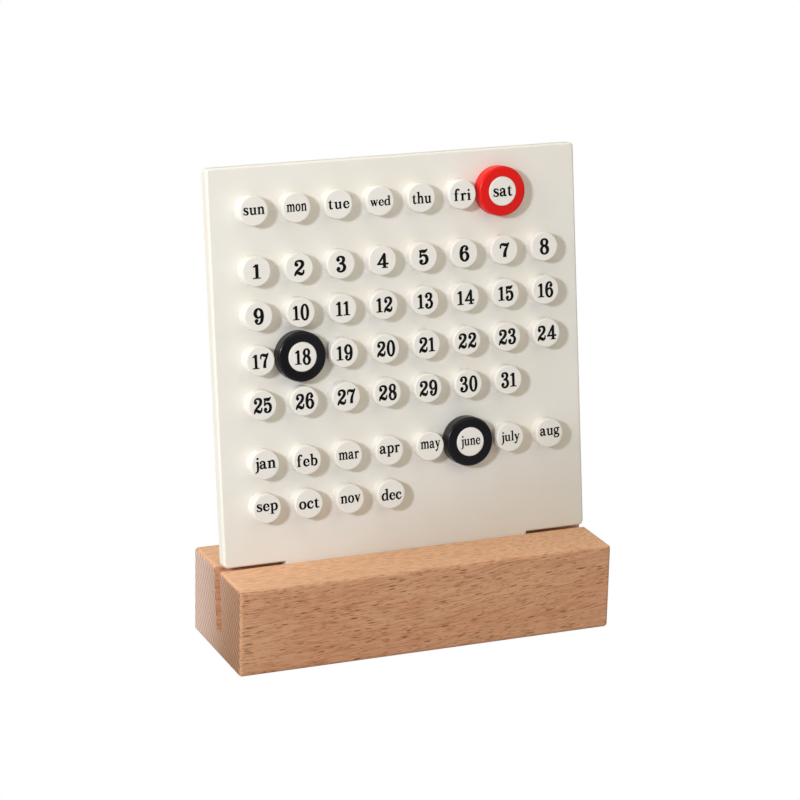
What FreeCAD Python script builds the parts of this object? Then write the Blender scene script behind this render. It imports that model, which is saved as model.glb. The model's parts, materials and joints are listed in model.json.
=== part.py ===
import FreeCAD
import Part
import math
import os

# Perpetual desk calendar: a beech block with a leaning slot, an ivory plate whose tongue stands
# in that slot, fifty press-in pegs that carry the legends, and three marker rings.
#
# Millimetres, +Z up. The origin is the middle of the block's underside. X runs along the block,
# and the legends face -Y. The plate, its pegs and the rings are drawn flat in the plate's own
# frame: x across the plate, y up the plate from the level of the block's top, z out of the
# plate's front from its mid plane. seat() then leans them into the slot.

# ---- beech block ----
BASE_LENGTH = 135.0
BASE_DEPTH = 46.0
BASE_HEIGHT = 30.0
BASE_EDGE_RADIUS = 1.3      # every outer edge of the block is eased
SLOT_DEPTH = 21.0           # along the lean, down the middle of the slot
SLOT_EDGE_CHAMFER = 0.15    # broken edge along the mouth of the slot
LEAN_DEG = 8.6              # the plate's top leans back by this angle

# ---- plate ----
PLATE_THICKNESS = 5.0
SLOT_CLEARANCE = 0.2        # air on each side of the plate in the slot
FLOOR_CLEARANCE = 0.02      # the tongue stands on the slot's floor
SHOULDER_WIDTH = 21.9       # from the plate's side to the tongue, each side
SHOULDER_GAP = 0.2          # from the block's top to the shoulders, along the plate
TOP_CORNER_RADIUS = 1.4
SHOULDER_CORNER_RADIUS = 1.8
TONGUE_CORNER_RADIUS = 1.5
TONGUE_ROOT_RADIUS = 0.4    # inside corner between tongue and shoulder
PLATE_OFFSET = 0.6          # the slot runs through, so the plate can stand a little off centre
PLATE_EDGE_RADIUS = 0.8     # rounding between the plate's edges and its faces

# ---- layout of the pegs ----
PITCH = 14.84               # column to column, and row to row inside a group
GROUP_GAP = 19.9            # last row of a group to the first row of the next
SIDE_MARGIN = 14.3          # outer columns to the plate's sides
TOP_MARGIN = 14.3           # weekday row to the plate's top
BOTTOM_MARGIN = 19.9        # last month row to the shoulders
COLUMNS = 8
WEEKDAYS = ["sun", "mon", "tue", "wed", "thu", "fri", "sat"]
DATE_COUNT = 31
MONTHS = ["jan", "feb", "mar", "apr", "may", "june", "july", "aug", "sep", "oct", "nov", "dec"]

# ---- pegs ----
PEG_RADIUS = 4.95
PEG_HEIGHT = 5.0            # above the plate's front
PEG_RIM_RADIUS = 0.35       # rounding round the face
SPIGOT_RADIUS = 2.5
SPIGOT_FLAT = 1.8           # from the peg's axis to the flat that keeps the legend level
SPIGOT_CLEARANCE = 0.02
PLATE_BACK_SKIN = 2.0       # plastic left behind each blind hole
SPIGOT_END_GAP = 0.1

# ---- marker rings ----
RING_CLEARANCE = 0.08       # radial running fit on a peg
RING_NEIGHBOUR_GAP = 1.44   # air between a ring and the next peg in its row
RING_THICKNESS = 4.8
RING_SEAT_GAP = 0.02
RING_FRONT_RADIUS = 0.8     # rounding of the outer front edge
RING_BACK_RADIUS = 0.2
RING_BORE_CHAMFER = 0.15
RING_PEGS = {"ring_weekday": "sat", "ring_date": "18", "ring_month": "june"}

# ---- sizes that follow ----
LEAN = math.radians(LEAN_DEG)
PLATE_WIDTH = (COLUMNS - 1) * PITCH + 2 * SIDE_MARGIN
TONGUE_WIDTH = PLATE_WIDTH - 2 * SHOULDER_WIDTH
TONGUE_BOTTOM = -(SLOT_DEPTH - FLOOR_CLEARANCE)
SLOT_WIDTH = PLATE_THICKNESS + 2 * SLOT_CLEARANCE
FRONT = PLATE_THICKNESS / 2
BACK = -PLATE_THICKNESS / 2
HOLE_DEPTH = PLATE_THICKNESS - PLATE_BACK_SKIN
SPIGOT_LENGTH = HOLE_DEPTH - SPIGOT_END_GAP
RING_BORE_RADIUS = PEG_RADIUS + RING_CLEARANCE
RING_RADIUS = PITCH - PEG_RADIUS - RING_NEIGHBOUR_GAP
TOOL_OVERRUN = 5.0          # how far a cutting tool runs past the face that it opens
TOLERANCE = 1e-6
OUT = FreeCAD.Vector(0, 0, 1)


def seat(shape):
    """Lean a shape from the plate's flat frame into the slot."""
    lean = FreeCAD.Rotation(FreeCAD.Vector(1, 0, 0), 90.0 - LEAN_DEG)
    place = FreeCAD.Placement(FreeCAD.Vector(PLATE_OFFSET, 0, BASE_HEIGHT), lean)
    seated = shape.copy()
    seated.Placement = place.multiply(shape.Placement)
    return seated


def outline(corners):
    """Close a wire through (x, y, radius) corners, each rounded by its own radius."""
    count = len(corners)
    points = [FreeCAD.Vector(x, y, 0) for x, y, _ in corners]
    edges = []
    joins = []
    for i in range(count):
        radius = corners[i][2]
        here = points[i]
        back = (points[i - 1] - here).normalize()
        ahead = (points[(i + 1) % count] - here).normalize()
        half = back.getAngle(ahead) / 2
        reach = radius / math.tan(half)
        start = here + back * reach
        end = here + ahead * reach
        middle = here + (back + ahead).normalize() * (radius / math.sin(half) - radius)
        joins.append((start, middle, end))
    for i in range(count):
        start, middle, end = joins[i]
        following = joins[(i + 1) % count][0]
        edges.append(Part.Arc(start, middle, end).toShape())
        if end.distanceToPoint(following) > TOLERANCE:
            edges.append(Part.LineSegment(end, following).toShape())
    return Part.Wire(edges)


def edges_at_height(solid, heights):
    """Edges of a flat-drawn solid that lie wholly at one of the given z heights."""
    found = []
    for edge in solid.Edges:
        low = edge.BoundBox.ZMin
        high = edge.BoundBox.ZMax
        if any(abs(low - z) < TOLERANCE and abs(high - z) < TOLERANCE for z in heights):
            found.append(edge)
    return found


def row_labels():
    """Rows of legends from the top down, each with the gap above it."""
    dates = [str(day) for day in range(1, DATE_COUNT + 1)]
    rows = []
    gap = 0.0
    for group in (WEEKDAYS, dates, MONTHS):
        for first in range(0, len(group), COLUMNS):
            rows.append((gap, group[first:first + COLUMNS]))
            gap = PITCH
        gap = GROUP_GAP
    return rows


def plate_height(rows):
    """Height of the plate above its shoulders."""
    return TOP_MARGIN + sum(gap for gap, _ in rows) + BOTTOM_MARGIN


def peg_places(rows):
    """Centre of every peg on the plate, by legend."""
    places = {}
    left = -(COLUMNS - 1) * PITCH / 2
    y = SHOULDER_GAP + plate_height(rows) - TOP_MARGIN
    for gap, labels in rows:
        y -= gap
        for column, label in enumerate(labels):
            places[label] = (left + column * PITCH, y)
    return places


def node_name(label):
    """Node name of the peg that carries a legend."""
    return "peg_" + (label.zfill(2) if label.isdigit() else label)


def spigot_section(clearance):
    """D-shaped face about the origin, grown by a clearance all round."""
    radius = SPIGOT_RADIUS + clearance
    flat = SPIGOT_FLAT + clearance
    half = math.sqrt(radius ** 2 - flat ** 2)
    left = FreeCAD.Vector(-half, -flat, 0)
    right = FreeCAD.Vector(half, -flat, 0)
    crown = FreeCAD.Vector(0, radius, 0)
    arc = Part.Arc(right, crown, left).toShape()
    chord = Part.LineSegment(left, right).toShape()
    return Part.Face(Part.Wire([arc, chord]))


def base_block():
    """Beech block with eased edges and a full-length slot that leans back."""
    corner = FreeCAD.Vector(-BASE_LENGTH / 2, -BASE_DEPTH / 2, 0)
    block = Part.makeBox(BASE_LENGTH, BASE_DEPTH, BASE_HEIGHT, corner)
    block = block.makeFillet(BASE_EDGE_RADIUS, block.Edges)
    half = SLOT_WIDTH / 2
    mouth = half + SLOT_EDGE_CHAMFER
    # Section of the slot across the block, in the plate's frame: y up the lean, z across it.
    # The block's top is level, so each lip of the slot lies a little above or below y = 0.
    lip_shift = half * math.tan(LEAN)
    section = [
        (-SLOT_DEPTH, -half),
        (-SLOT_DEPTH, half),
        (-lip_shift - SLOT_EDGE_CHAMFER, half),
        (-lip_shift, mouth),
        (TOOL_OVERRUN, mouth),
        (TOOL_OVERRUN, -mouth),
        (lip_shift, -mouth),
        (lip_shift - SLOT_EDGE_CHAMFER, -half),
    ]
    x = -BASE_LENGTH / 2 - TOOL_OVERRUN
    wire = Part.makePolygon([FreeCAD.Vector(x, y, z) for y, z in section + section[:1]])
    cutter = Part.Face(wire).extrude(FreeCAD.Vector(BASE_LENGTH + 2 * TOOL_OVERRUN, 0, 0))
    return block.cut(seat(cutter))


def calendar_plate(rows, places):
    """Plate with two shoulders, a tongue for the slot and a blind D hole for each peg."""
    side = PLATE_WIDTH / 2
    tongue = TONGUE_WIDTH / 2
    top = SHOULDER_GAP + plate_height(rows)
    corners = [
        (-tongue, TONGUE_BOTTOM, TONGUE_CORNER_RADIUS),
        (tongue, TONGUE_BOTTOM, TONGUE_CORNER_RADIUS),
        (tongue, SHOULDER_GAP, TONGUE_ROOT_RADIUS),
        (side, SHOULDER_GAP, SHOULDER_CORNER_RADIUS),
        (side, top, TOP_CORNER_RADIUS),
        (-side, top, TOP_CORNER_RADIUS),
        (-side, SHOULDER_GAP, SHOULDER_CORNER_RADIUS),
        (-tongue, SHOULDER_GAP, TONGUE_ROOT_RADIUS),
    ]
    plate = Part.Face(outline(corners)).extrude(OUT * PLATE_THICKNESS)
    plate.translate(OUT * BACK)
    plate = plate.makeFillet(PLATE_EDGE_RADIUS, edges_at_height(plate, (FRONT, BACK)))
    hole = spigot_section(SPIGOT_CLEARANCE).extrude(OUT * (HOLE_DEPTH + TOOL_OVERRUN))
    holes = []
    for x, y in places.values():
        cutter = hole.copy()
        cutter.translate(FreeCAD.Vector(x, y, FRONT - HOLE_DEPTH))
        holes.append(cutter)
    return seat(plate.cut(Part.makeCompound(holes)))


def peg(place):
    """Button with a rounded rim, and a D-shaped spigot that keys it into the plate."""
    head = Part.makeCylinder(PEG_RADIUS, PEG_HEIGHT, OUT * FRONT)
    head = head.makeFillet(PEG_RIM_RADIUS, edges_at_height(head, (FRONT + PEG_HEIGHT,)))
    spigot = spigot_section(0.0).extrude(OUT * (SPIGOT_LENGTH + PEG_HEIGHT / 2))
    spigot.translate(OUT * (FRONT - SPIGOT_LENGTH))
    button = head.fuse(spigot).removeSplitter()
    button.translate(FreeCAD.Vector(place[0], place[1], 0))
    return seat(button)


def marker_ring(place):
    """Thick flat ring that slides over a peg and lies on the plate."""
    back = FRONT + RING_SEAT_GAP
    front = back + RING_THICKNESS
    disc = Part.makeCylinder(RING_RADIUS, RING_THICKNESS, OUT * back)
    disc = disc.makeFillet(RING_FRONT_RADIUS, edges_at_height(disc, (front,)))
    disc = disc.makeFillet(RING_BACK_RADIUS, edges_at_height(disc, (back,)))
    bore_length = RING_THICKNESS + 2 * TOOL_OVERRUN
    ring = disc.cut(Part.makeCylinder(RING_BORE_RADIUS, bore_length, OUT * (back - TOOL_OVERRUN)))
    rims = []
    for edge in edges_at_height(ring, (front, back)):
        if abs(edge.Curve.Radius - RING_BORE_RADIUS) < TOLERANCE:
            rims.append(edge)
    ring = ring.makeChamfer(RING_BORE_CHAMFER, rims)
    ring.translate(FreeCAD.Vector(place[0], place[1], 0))
    return seat(ring)


def build():
    """Make every node of the calendar."""
    rows = row_labels()
    places = peg_places(rows)
    nodes = {
        "base_block": base_block(),
        "calendar_plate": calendar_plate(rows, places),
    }
    for label, place in places.items():
        nodes[node_name(label)] = peg(place)
    for name, label in RING_PEGS.items():
        nodes[name] = marker_ring(places[label])
    return nodes


def main():
    """Write one STEP file per node."""
    os.makedirs("parts", exist_ok=True)
    for name, shape in build().items():
        solid = shape.Solids[0]
        if len(shape.Solids) != 1 or not solid.isValid():
            raise ValueError(name + " is not one valid solid")
        solid.exportStep("parts/" + name + ".step")
        print(name, round(solid.Volume, 2))


main()
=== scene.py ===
"""Looks of a perpetual peg calendar: a beech block, an ivory plate of lettered pegs, marker rings.

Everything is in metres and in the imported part's own frame, except the letters, which are drawn
in letter units and scaled when they are placed. The part's nodes keep their own shapes. What is
added here is the finish of each node, and the printed legend on the face of every peg.
"""
import json
import logging
import math
from dataclasses import dataclass
from enum import Enum
from typing import Dict, List, Mapping, Sequence, Tuple, Union

import bpy
from mathutils import Matrix, Vector
from mathutils.geometry import delaunay_2d_cdt


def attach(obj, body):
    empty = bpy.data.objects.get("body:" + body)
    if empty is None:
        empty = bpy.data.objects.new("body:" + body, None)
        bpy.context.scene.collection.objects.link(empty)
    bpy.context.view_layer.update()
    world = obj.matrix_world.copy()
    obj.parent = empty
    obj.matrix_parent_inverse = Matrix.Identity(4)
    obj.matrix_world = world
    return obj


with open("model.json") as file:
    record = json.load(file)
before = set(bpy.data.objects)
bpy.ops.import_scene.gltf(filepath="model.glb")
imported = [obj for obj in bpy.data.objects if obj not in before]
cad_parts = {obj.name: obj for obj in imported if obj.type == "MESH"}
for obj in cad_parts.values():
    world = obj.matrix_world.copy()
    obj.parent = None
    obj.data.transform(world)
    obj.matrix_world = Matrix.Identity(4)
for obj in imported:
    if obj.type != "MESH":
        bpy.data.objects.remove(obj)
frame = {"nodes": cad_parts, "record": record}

LOG = logging.getLogger("calendar")
MM = 0.001
PER_METRE = 1000.0
NOISE_ROUGHNESS = 0.55

Point = Tuple[float, float]
Pen = Tuple[float, float, float]
Colour = Tuple[float, float, float]
Socket = bpy.types.NodeSocket
Value = Union[float, Sequence[float], Socket]


class Tone(Enum):
    """How a mix node joins two colours."""

    BLEND = "MIX"
    DARKEN = "MULTIPLY"


# ---------------------------------------------------------------- shader nodes


class Graph:
    """Adds nodes to one node tree and joins them."""

    def __init__(self, tree: bpy.types.NodeTree) -> None:
        """Take the tree to draw in.

        Args:
            tree: A material's tree or a node group.
        """
        self.tree = tree

    def fill(self, node: bpy.types.Node, inputs: Mapping[Union[str, int], Value]) -> None:
        """Set a node's inputs.

        Args:
            node: The node.
            inputs: Socket name or index, with a constant or the socket that feeds it.
        """
        for key, value in inputs.items():
            if isinstance(value, Socket):
                self.tree.links.new(value, node.inputs[key])
            else:
                node.inputs[key].default_value = value

    def add(self, kind: str, inputs: Mapping[Union[str, int], Value], **settings: object) -> bpy.types.Node:
        """Add one node.

        Args:
            kind: The node's type name.
            inputs: What goes into its sockets, as for fill.
            **settings: Properties of the node itself.

        Returns:
            The new node.
        """
        node = self.tree.nodes.new(kind)
        for name, value in settings.items():
            setattr(node, name, value)
        self.fill(node, inputs)
        return node

    def math(self, operation: str, *values: Value) -> Socket:
        """Join numbers with one arithmetic step.

        Args:
            operation: The Math node's operation.
            *values: Its inputs in order.

        Returns:
            The result's socket.
        """
        return self.add("ShaderNodeMath", dict(enumerate(values)), operation=operation).outputs[0]

    def ramp(self, value: Socket, low: float, high: float, start: float = 0.0, end: float = 1.0) -> Socket:
        """Ease a value from one range into another, held at both ends.

        Args:
            value: The number to read.
            low: Where the result begins to change.
            high: Where it stops changing.
            start: The result at low.
            end: The result at high.

        Returns:
            The eased number.
        """
        inputs = {0: value, 1: low, 2: high, 3: start, 4: end}
        return self.add("ShaderNodeMapRange", inputs, interpolation_type="SMOOTHSTEP").outputs[0]

    def mix(self, amount: Value, first: Value, second: Value, tone: Tone = Tone.BLEND) -> Socket:
        """Mix two colours.

        Args:
            amount: 0 for the first, 1 for the second.
            first: The colour underneath.
            second: The colour on top.
            tone: How they are joined.

        Returns:
            The mixed colour.
        """
        inputs = {0: amount, 6: self.colour(first), 7: self.colour(second)}
        node = self.add("ShaderNodeMix", inputs, data_type="RGBA", blend_type=tone.value)
        return node.outputs[2]

    @staticmethod
    def colour(value: Value) -> Value:
        """Give a plain colour its opaque fourth channel."""
        return value if isinstance(value, Socket) else (*value, 1.0)

    def vector(self, x: Value, y: Value, z: Value) -> Socket:
        """Put three numbers together as a vector."""
        return self.add("ShaderNodeCombineXYZ", {0: x, 1: y, 2: z}).outputs[0]

    def stretched(self, parts: Sequence[Socket], scales: Sequence[float], step: str = "MULTIPLY") -> Socket:
        """A place whose three numbers are each changed by their own factor.

        Args:
            parts: The three numbers.
            scales: Their factors.
            step: The Math node's operation.

        Returns:
            The new place.
        """
        return self.vector(*(self.math(step, part, scale) for part, scale in zip(parts, scales)))

    def noise(self, place: Socket, scale: float, detail: float) -> Socket:
        """Soft noise from 0 to 1, centred on one half.

        Args:
            place: Where on the piece.
            scale: Lumps per unit of place.
            detail: How many finer layers are added.

        Returns:
            The noise value.
        """
        inputs = {"Vector": place, "Scale": scale, "Detail": detail, "Roughness": NOISE_ROUGHNESS}
        return self.add("ShaderNodeTexNoise", inputs).outputs["Fac"]

    def cells(self, place: Socket) -> bpy.types.Node:
        """Scattered points, one in each unit cell; gives distance and a random colour."""
        return self.add("ShaderNodeTexVoronoi", {"Vector": place, "Scale": 1.0, "Randomness": 1.0})

    def millimetres(self) -> Socket:
        """Place on the piece in millimetres, from its own object coordinates."""
        place = self.add("ShaderNodeTexCoord", {}).outputs["Object"]
        node = self.add("ShaderNodeVectorMath", {0: place, "Scale": PER_METRE}, operation="SCALE")
        return node.outputs[0]

    def bump(self, height: Socket, strength: float, depth: float) -> Socket:
        """Small relief.

        Args:
            height: How high the surface stands.
            strength: How strongly it shows.
            depth: What one unit of height stands for, in millimetres.

        Returns:
            The surface's normal.
        """
        inputs = {"Height": height, "Strength": strength, "Distance": depth * MM}
        return self.add("ShaderNodeBump", inputs).outputs[0]

    def surface(self, shader: bpy.types.Node) -> None:
        """Show a shader on the material's surface, in place of the first one."""
        end = next(node for node in self.tree.nodes if node.type == "OUTPUT_MATERIAL")
        self.fill(end, {"Surface": shader.outputs[0]})


def new_group(
    name: str, inputs: Mapping[str, float], outputs: Sequence[str]
) -> Tuple[Graph, bpy.types.Node, bpy.types.Node]:
    """Start a shader node group whose first input is a place in millimetres.

    Args:
        name: The group's name.
        inputs: Names and starting values of its number inputs.
        outputs: Names of its number outputs.

    Returns:
        The graph to draw in, its input node and its output node.
    """
    tree = bpy.data.node_groups.new(name, "ShaderNodeTree")
    tree.interface.new_socket("Place", in_out="INPUT", socket_type="NodeSocketVector")
    for label, start in inputs.items():
        socket = tree.interface.new_socket(label, in_out="INPUT", socket_type="NodeSocketFloat")
        socket.default_value = start
    for label in outputs:
        tree.interface.new_socket(label, in_out="OUTPUT", socket_type="NodeSocketFloat")
    return Graph(tree), tree.nodes.new("NodeGroupInput"), tree.nodes.new("NodeGroupOutput")


class SharedEffects:
    """Node groups that more than one finish uses, each built once."""

    SLOW_SHARE = 3.0
    PATCH_SCALE = 0.11
    PATCH_EDGE = (0.5, 0.72)
    PATCH_STRENGTH = 0.5
    SCRATCH_TURN = (0.3, 0.9, 0.5)
    SCRATCH_SCALE = (0.12, 5.0, 5.0)
    SCRATCH_EDGE = (0.71, 0.78)

    def __init__(self) -> None:
        """Build the groups."""
        self.skin = self.moulded_skin()
        self.marks = self.handling_marks()

    def moulded_skin(self) -> bpy.types.NodeTree:
        """Fine ripple and slow waviness of a moulded plastic surface.

        Returns:
            A group with a Height and a slow Mottle.
        """
        scales = {"Ripple": 2.0, "Waviness": 0.06}
        graph, source, result = new_group("moulded_skin", scales, ("Height", "Mottle"))
        fine, slow = (
            graph.add(
                "ShaderNodeTexNoise",
                {"Vector": source.outputs["Place"], "Scale": source.outputs[label], "Detail": detail},
            ).outputs["Fac"]
            for label, detail in (("Ripple", 3.0), ("Waviness", 2.0))
        )
        height = graph.math("ADD", fine, graph.math("MULTIPLY", slow, self.SLOW_SHARE))
        graph.fill(result, {"Height": height, "Mottle": slow})
        return graph.tree

    def handling_marks(self) -> bpy.types.NodeTree:
        """Faint rubbed patches and hair scratches from being handled.

        Returns:
            A group with one Mask from 0 to 1.
        """
        graph, source, result = new_group("handling_marks", {"Amount": 1.0}, ("Mask",))
        place = source.outputs["Place"]
        patches = graph.ramp(graph.noise(place, self.PATCH_SCALE, 3.0), *self.PATCH_EDGE)
        inputs = {"Vector": place, "Rotation": self.SCRATCH_TURN, "Scale": self.SCRATCH_SCALE}
        hairs = graph.noise(graph.add("ShaderNodeMapping", inputs).outputs[0], 1.0, 1.0)
        scratches = graph.ramp(hairs, *self.SCRATCH_EDGE)
        both = graph.math("MAXIMUM", graph.math("MULTIPLY", patches, self.PATCH_STRENGTH), scratches)
        graph.fill(result, {"Mask": graph.math("MULTIPLY", both, source.outputs["Amount"])})
        return graph.tree


def use_group(graph: Graph, tree: bpy.types.NodeTree, place: Socket, **values: float) -> bpy.types.Node:
    """Place a shared effect in a material.

    Args:
        graph: The material's graph.
        tree: The group.
        place: Where on the piece, in millimetres.
        **values: The group's number inputs.

    Returns:
        The group's node.
    """
    return graph.add("ShaderNodeGroup", {"Place": place, **values}, node_tree=tree)


def new_material(name: str) -> Tuple[bpy.types.Material, Graph, bpy.types.Node]:
    """Start a material that holds one surface shader.

    Args:
        name: The material's name.

    Returns:
        The material, its graph and its Principled shader.
    """
    material = bpy.data.materials.new(name)
    material.use_nodes = True
    material.node_tree.nodes.clear()
    graph = Graph(material.node_tree)
    shader = graph.add("ShaderNodeBsdfPrincipled", {})
    graph.add("ShaderNodeOutputMaterial", {"Surface": shader.outputs[0]})
    return material, graph, shader


# ---------------------------------------------------------------- finishes


@dataclass(frozen=True)
class MouldedPlastic:
    """A moulded plastic finish, from soft satin to near gloss."""

    name: str
    colour: Colour
    shade: Colour
    roughness: float
    spread: float
    ripple: float
    depth: float
    coat: float = 0.0
    shine: float = 0.5
    scatter: float = 0.0
    marks: float = 1.0
    tint_edge: Point = (0.3, 0.7)
    rough_edge: Point = (0.25, 0.75)
    relief: float = 0.35
    coat_roughness: float = 0.12
    scatter_radius: Colour = (1.0, 0.8, 0.55)
    scatter_depth: float = 1.2

    def material(self, shared: SharedEffects) -> bpy.types.Material:
        """Build the finish.

        Args:
            shared: The shared node groups.

        Returns:
            The material.
        """
        material, graph, shader = new_material(self.name)
        place = graph.millimetres()
        skin = use_group(graph, shared.skin, place, Ripple=self.ripple)
        marks = use_group(graph, shared.marks, place, Amount=self.marks)
        mottle = skin.outputs["Mottle"]
        low, high = self.roughness - self.spread, self.roughness + self.spread
        rubbed = graph.math("MULTIPLY", marks.outputs["Mask"], self.spread)
        graph.fill(shader, {
            "Base Color": graph.mix(graph.ramp(mottle, *self.tint_edge), self.colour, self.shade),
            "Roughness": graph.math("ADD", graph.ramp(mottle, *self.rough_edge, low, high), rubbed),
            "Normal": graph.bump(skin.outputs["Height"], self.relief, self.depth),
            "Coat Weight": self.coat,
            "Coat Roughness": self.coat_roughness,
            "Specular IOR Level": self.shine,
            "Subsurface Weight": self.scatter,
            "Subsurface Radius": self.scatter_radius,
            "Subsurface Scale": self.scatter_depth * MM,
        })
        return material


@dataclass(frozen=True)
class PrintedInk:
    """Black pad-printed ink, thin and a little uneven."""

    name: str = "legend_ink"
    colour: Colour = (0.003, 0.003, 0.004)
    worn: Colour = (0.012, 0.012, 0.013)
    roughness: float = 0.6
    shine: float = 0.12
    speckle_scale: float = 4.0
    thin_edge: Point = (0.55, 0.8)
    marks: float = 0.6
    rubbed: float = 0.2
    relief: float = 0.3
    depth: float = 0.01

    def material(self, shared: SharedEffects) -> bpy.types.Material:
        """Build the finish.

        Args:
            shared: The shared node groups.

        Returns:
            The material.
        """
        material, graph, shader = new_material(self.name)
        place = graph.millimetres()
        speckle = graph.noise(place, self.speckle_scale, 3.0)
        marks = use_group(graph, shared.marks, place, Amount=self.marks)
        rubbed = graph.math("MULTIPLY", marks.outputs["Mask"], self.rubbed)
        graph.fill(shader, {
            "Base Color": graph.mix(graph.ramp(speckle, *self.thin_edge), self.colour, self.worn),
            "Roughness": graph.math("ADD", self.roughness, rubbed),
            "Normal": graph.bump(speckle, self.relief, self.depth),
            "Specular IOR Level": self.shine,
        })
        return material


@dataclass(frozen=True)
class Spindles:
    """Rays of one size: the room each has in x, along a ring and square to it, and its outline in cells."""

    cell: Colour
    core: float
    rim: float
    weakest: float = 0.3

    def mask(self, graph: Graph, parts: Sequence[Socket]) -> Socket:
        """Spindles scattered through the wood, of uneven strength.

        Args:
            graph: The material's graph.
            parts: Distance along the block, along a growth ring, and from ring to ring.

        Returns:
            A mask from 0 to 1.
        """
        points = graph.cells(graph.stretched(parts, self.cell, "DIVIDE")).outputs
        shape = graph.ramp(points["Distance"], self.core, self.rim, 1.0, 0.0)
        chance = graph.add("ShaderNodeSeparateColor", {0: points["Color"]}).outputs[0]
        return graph.math("MULTIPLY", shape, graph.ramp(chance, 0.0, 1.0, self.weakest, 1.0))


@dataclass(frozen=True)
class OiledBeech:
    """Oiled beech, drawn as a solid so that every face and the end grain agree.

    The fibres run along the block and rise slowly to the right. Growth rings cross the ends at a
    slant, and the rays lie square to them: short dark dashes where a long face cuts them. Sizes are
    in millimetres, and an edge field holds where a change begins and ends.
    """

    name: str = "oiled_beech"
    light: Colour = (0.82, 0.465, 0.27)
    pink: Colour = (0.77, 0.395, 0.225)
    top_light: Colour = (0.89, 0.54, 0.325)
    # The top's colour is lighter than the sides: painted light from above.
    fleck: Colour = (0.34, 0.25, 0.21)
    fine: Colour = (0.74, 0.66, 0.60)
    ring: Colour = (0.88, 0.82, 0.76)
    end: Colour = (0.59, 0.34, 0.21)
    # Paler end colour towards the back: painted light and sheen.
    end_rear: Colour = (0.90, 0.70, 0.60)
    end_ring: Colour = (0.36, 0.27, 0.22)
    rise: float = 0.087
    rise_growth: float = 0.00052
    ring_slant: float = 40.0
    ring_spacing: float = 1.8
    ring_bow: float = 0.004
    half_length: float = 67.5
    top: float = 30.0
    end_edge: Point = (0.35, 0.05)
    top_edge: Point = (0.4, 0.1)
    dash_edge: Point = (0.3, 0.05)
    sway_scale: Colour = (0.02, 0.09, 0.09)
    sway: float = 3.0
    drift_scale: Colour = (0.018, 0.07, 0.07)
    drift_edge: Point = (0.35, 0.65)
    wobble_scale: Colour = (0.02, 0.05, 0.12)
    wobble: float = 2.6
    late_power: float = 3.0
    late_share: float = 0.35
    fibre_scale: Colour = (0.16, 3.2, 3.2)
    fibre_edge: Point = (0.42, 0.66)
    large: Spindles = Spindles((6.4, 0.66, 3.6), 0.17, 0.25)
    small: Spindles = Spindles((3.4, 0.42, 2.4), 0.16, 0.28)
    small_share: float = 0.75
    top_share: float = 0.42
    pore_scale: float = 5.5
    pore_edge: Point = (0.5, 0.75)
    pore_share: float = 0.3
    # Where the painted light on the ends begins and ends, along y.
    bare_edge: Point = (-16.0, 22.0)
    band_power: float = 1.2
    end_dashes: float = 0.45
    rough_edge: Point = (0.3, 0.7)
    roughness: Point = (0.5, 0.62)
    dash_roughness: float = 0.15
    rubbed: float = 0.08
    fibre_relief: float = 0.5
    relief: float = 0.7
    depth: float = 0.08
    shine: float = 0.35

    def material(self, shared: SharedEffects) -> bpy.types.Material:
        """Build the finish.

        Args:
            shared: The shared node groups.

        Returns:
            The material.
        """
        material, graph, shader = new_material(self.name)
        place = graph.millimetres()
        axes = graph.add("ShaderNodeSeparateXYZ", {0: place}).outputs
        parts = (axes[0], *self.fibre_axes(graph, place, axes))
        colour, count, fibre = self.grain(graph, parts, axes[2])
        dashes = self.dashes(graph, parts, axes[2])
        long_face = graph.mix(dashes, colour, self.fleck, Tone.DARKEN)
        # The ends are greyer, with clear rings and open pores, and painted paler towards the back: painted
        # light and sheen.
        pores = graph.ramp(graph.noise(place, self.pore_scale, 1.0), *self.pore_edge)
        end_with_painted_light = graph.mix(graph.ramp(axes[1], *self.bare_edge), self.end, self.end_rear)
        band = graph.math("POWER", graph.math("FRACT", count), self.band_power)
        cut = graph.mix(band, end_with_painted_light, self.end_ring, Tone.DARKEN)
        cut = graph.mix(graph.math("MULTIPLY", pores, self.pore_share), cut, self.end_ring, Tone.DARKEN)
        cut = graph.mix(graph.math("MULTIPLY", dashes, self.end_dashes), cut, self.fine, Tone.DARKEN)
        near_end = (self.half_length - inside for inside in self.end_edge)
        end = graph.ramp(graph.math("ABSOLUTE", axes[0]), *near_end)
        # Oil soaks in where the grain is open.
        marks = use_group(graph, shared.marks, place, Amount=1.0)
        rough = graph.ramp(fibre, *self.rough_edge, *self.roughness)
        rough = graph.math("ADD", rough, graph.math("MULTIPLY", dashes, self.dash_roughness))
        rough = graph.math("ADD", rough, graph.math("MULTIPLY", marks.outputs["Mask"], self.rubbed))
        height = graph.math("SUBTRACT", graph.math("MULTIPLY", fibre, self.fibre_relief), dashes)
        height = graph.math("SUBTRACT", height, graph.math("MULTIPLY", pores, end))
        graph.fill(shader, {
            "Base Color": graph.mix(end, long_face, cut),
            "Roughness": rough,
            "Normal": graph.bump(height, self.relief, self.depth),
            "Specular IOR Level": self.shine,
        })
        return material

    def grain(self, graph: Graph, parts: Sequence[Socket], z: Socket) -> Tuple[Socket, Socket, Socket]:
        """Colour of a long face without its rays, with painted light on the top.

        Args:
            graph: The material's graph.
            parts: Distance along the block, along a growth ring, and from ring to ring.
            z: Height on the block.

        Returns:
            The colour, the count of growth rings, and the fibres' streaks.
        """
        drift = graph.noise(graph.stretched(parts, self.drift_scale), 1.0, 3.0)
        colour = graph.mix(graph.ramp(drift, *self.drift_edge), self.light, self.pink)
        # The top face is painted lighter: painted light from above.
        near_top = (self.top - inside for inside in self.top_edge)
        colour = graph.mix(graph.ramp(z, *near_top), colour, self.top_light)
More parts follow.
